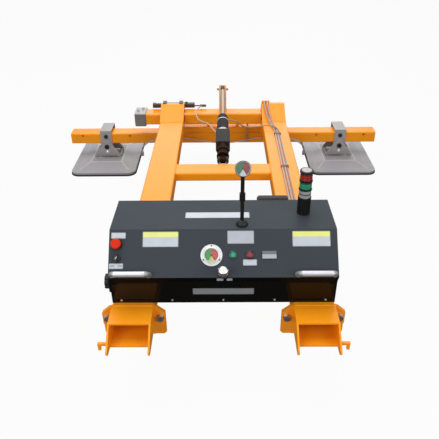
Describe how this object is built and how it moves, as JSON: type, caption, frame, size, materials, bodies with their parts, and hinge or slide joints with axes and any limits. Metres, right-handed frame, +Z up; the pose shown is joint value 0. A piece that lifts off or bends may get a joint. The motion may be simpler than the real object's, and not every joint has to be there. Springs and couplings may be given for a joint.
{
  "type": "glass panel lifter",
  "caption": "Fork-mounted electric vacuum lifter for glass panels: box arms, a control cabinet, a head tilted by an actuator and sliding oblong suction pads.",
  "frame": {"origin": "midway between the two fork pockets, at their mouth, on the plane where the forks bear on the pocket roofs", "axes": "+X to the operator's right, +Y along the arms away from the truck, +Z up"},
  "size_m": [2.578, 2.9949, 1.0567],
  "materials": {
    "orange_paint": "gloss paint",
    "zinc_steel": "zinc plated",
    "bronze": "turned",
    "textured_black_paint": "textured powder coat",
    "gloss_black": "gloss enamel",
    "black_plastic": "moulded",
    "cast_aluminium": "satin",
    "grey_paint": "satin paint",
    "black_rubber": "matt",
    "gauge_metal": "satin",
    "gauge_glass": "clear",
    "needle_black": "matt",
    "clear_lens": "ribbed lens",
    "green_lens": "moulded",
    "red_lens": "moulded",
    "hose_plastic": "braided clear hose",
    "cable_rubber": "cable sheath",
    "chrome": "polished",
    "actuator_black": "anodised black"
  },
  "bodies": {
    "frame": {"left_fork_pocket": "orange_paint", "right_fork_pocket": "orange_paint", "left_arm": "orange_paint", "right_arm": "orange_paint", "flange_bolts": "zinc_steel", "mid_cross_tube": "orange_paint", "actuator_bracket": "textured_black_paint", "left_bearing_saddle": "orange_paint", "right_bearing_saddle": "orange_paint", "tilt_bushes": "bronze", "cabinet_floor": "textured_black_paint", "cabinet_cover": "textured_black_paint", "cabinet_sides": "textured_black_paint", "lower_front_panel": "gloss_black", "pump_hood": "black_plastic", "vacuum_pump": "cast_aluminium", "battery_pack": "black_plastic", "electric_box": "black_plastic", "grab_handles": "cast_aluminium", "panel_gauge_case": "gauge_metal", "stem_post": "black_plastic", "stem_gauge_case": "gauge_metal", "gauge_glasses": "gauge_glass", "stack_light_base": "black_plastic", "stack_light_clear": "clear_lens", "stack_light_green": "green_lens", "stack_light_red": "red_lens", "control_bezels": "black_plastic", "hour_meter": "black_plastic", "arm_hoses": "hose_plastic", "actuator_cable": "cable_rubber", "hose_fittings": "black_plastic", "limit_box": "black_plastic", "limit_cable": "cable_rubber"},
    "head": {"tilt_tube": "orange_paint", "head_pins": "zinc_steel", "end_block": "grey_paint", "carrier_beam": "orange_paint", "pad_beam": "orange_paint", "lever_cheeks": "orange_paint", "vacuum_tee": "hose_plastic", "cross_hose": "hose_plastic", "left_drop_hose": "hose_plastic", "right_drop_hose": "hose_plastic"},
    "actuator": {"actuator_body": "actuator_black"},
    "rod": {"actuator_rod": "chrome"},
    "left_sleeve": {"left_sleeve": "grey_paint"},
    "right_sleeve": {"right_sleeve": "grey_paint"},
    "left_pad": {"left_pad_plate": "grey_paint", "left_pad_seal": "black_rubber"},
    "right_pad": {"right_pad_plate": "grey_paint", "right_pad_seal": "black_rubber"},
    "panel_needle": {"panel_gauge_needle": "needle_black"},
    "stem_needle": {"stem_gauge_needle": "needle_black"},
    "green_button": {"green_button": "green_lens"},
    "red_button": {"red_button": "red_lens"},
    "selector": {"selector_knob": "black_plastic"},
    "emergency_stop": {"emergency_stop_button": "red_lens"},
    "valve_lever": {"valve_lever": "chrome"},
    "isolator": {"isolator_knob": "black_plastic"}
  },
  "joints": [
    {"name": "head_tilt", "type": "hinge", "parent": "frame", "child": "head", "pos_m": [0, 2.439, -0.012], "axis": [1, 0, 0], "range_deg": [0, 90]},
    {"name": "actuator_swing", "type": "hinge", "parent": "frame", "child": "actuator", "pos_m": [0, 1.588, 0.006], "axis": [1, 0, 0], "range_deg": [-3.65, 0], "deforming": ["actuator_cable", "limit_cable"]},
    {"name": "rod_slide", "type": "slide", "parent": "actuator", "child": "rod", "axis": [0, 0.9818, 0.1898], "range_m": [-0.31543, 0]},
    {"name": "left_sleeve_slide", "type": "slide", "parent": "head", "child": "left_sleeve", "axis": [1, 0, 0], "range_m": [-0.2, 0.2], "deforming": ["left_drop_hose"]},
    {"name": "left_pad_rock", "type": "hinge", "parent": "left_sleeve", "child": "left_pad", "pos_m": [-0.99, 2.535, -0.283], "axis": [0, 1, 0], "range_deg": [-4, 4], "deforming": ["left_drop_hose"]},
    {"name": "right_sleeve_slide", "type": "slide", "parent": "head", "child": "right_sleeve", "axis": [1, 0, 0], "range_m": [-0.2, 0.2], "deforming": ["right_drop_hose"]},
    {"name": "right_pad_rock", "type": "hinge", "parent": "right_sleeve", "child": "right_pad", "pos_m": [0.99, 2.535, -0.283], "axis": [0, 1, 0], "range_deg": [-4, 4], "deforming": ["right_drop_hose"]},
    {"name": "panel_needle_turn", "type": "hinge", "parent": "frame", "child": "panel_needle", "pos_m": [-0.051, 0.18451, 0.23561], "axis": [0, -0.7279, 0.6857], "range_deg": [0, 270], "stiffness_Nm_per_rad": 0.002},
    {"name": "stem_needle_turn", "type": "hinge", "parent": "frame", "child": "stem_needle", "pos_m": [0.084, 0.293, 0.6], "axis": [0, -0.866, 0.5], "range_deg": [0, 270], "stiffness_Nm_per_rad": 0.002},
    {"name": "green_push", "type": "slide", "parent": "frame", "child": "green_button", "axis": [0, 0.7279, -0.6857], "range_m": [0, 0.0045], "stiffness_N_per_m": 600},
    {"name": "red_push", "type": "slide", "parent": "frame", "child": "red_button", "axis": [0, 0.7279, -0.6857], "range_m": [0, 0.0045], "stiffness_N_per_m": 600},
    {"name": "selector_turn", "type": "hinge", "parent": "frame", "child": "selector", "pos_m": [-0.464, 0.17628, 0.22687], "axis": [0, -0.7279, 0.6857], "range_deg": [0, 60]},
    {"name": "emergency_push", "type": "slide", "parent": "frame", "child": "emergency_stop", "axis": [0, 0.7279, -0.6857], "range_m": [0, 0.005]},
    {"name": "valve_lever_tilt", "type": "hinge", "parent": "frame", "child": "valve_lever", "pos_m": [0, 0.13103, 0.17883], "axis": [0, 0.6857, 0.7279], "range_deg": [-20, 20]},
    {"name": "isolator_turn", "type": "hinge", "parent": "frame", "child": "isolator", "pos_m": [-0.512, 0.19, 0.09], "axis": [-1, 0, 0], "range_deg": [0, 90]}
  ],
  "couplings": [
    {"joint": "actuator_swing", "follows": "head_tilt", "ratio": -0.040568},
    {"joint": "rod_slide", "follows": "head_tilt", "m_per_rad": -0.20075}
  ]
}
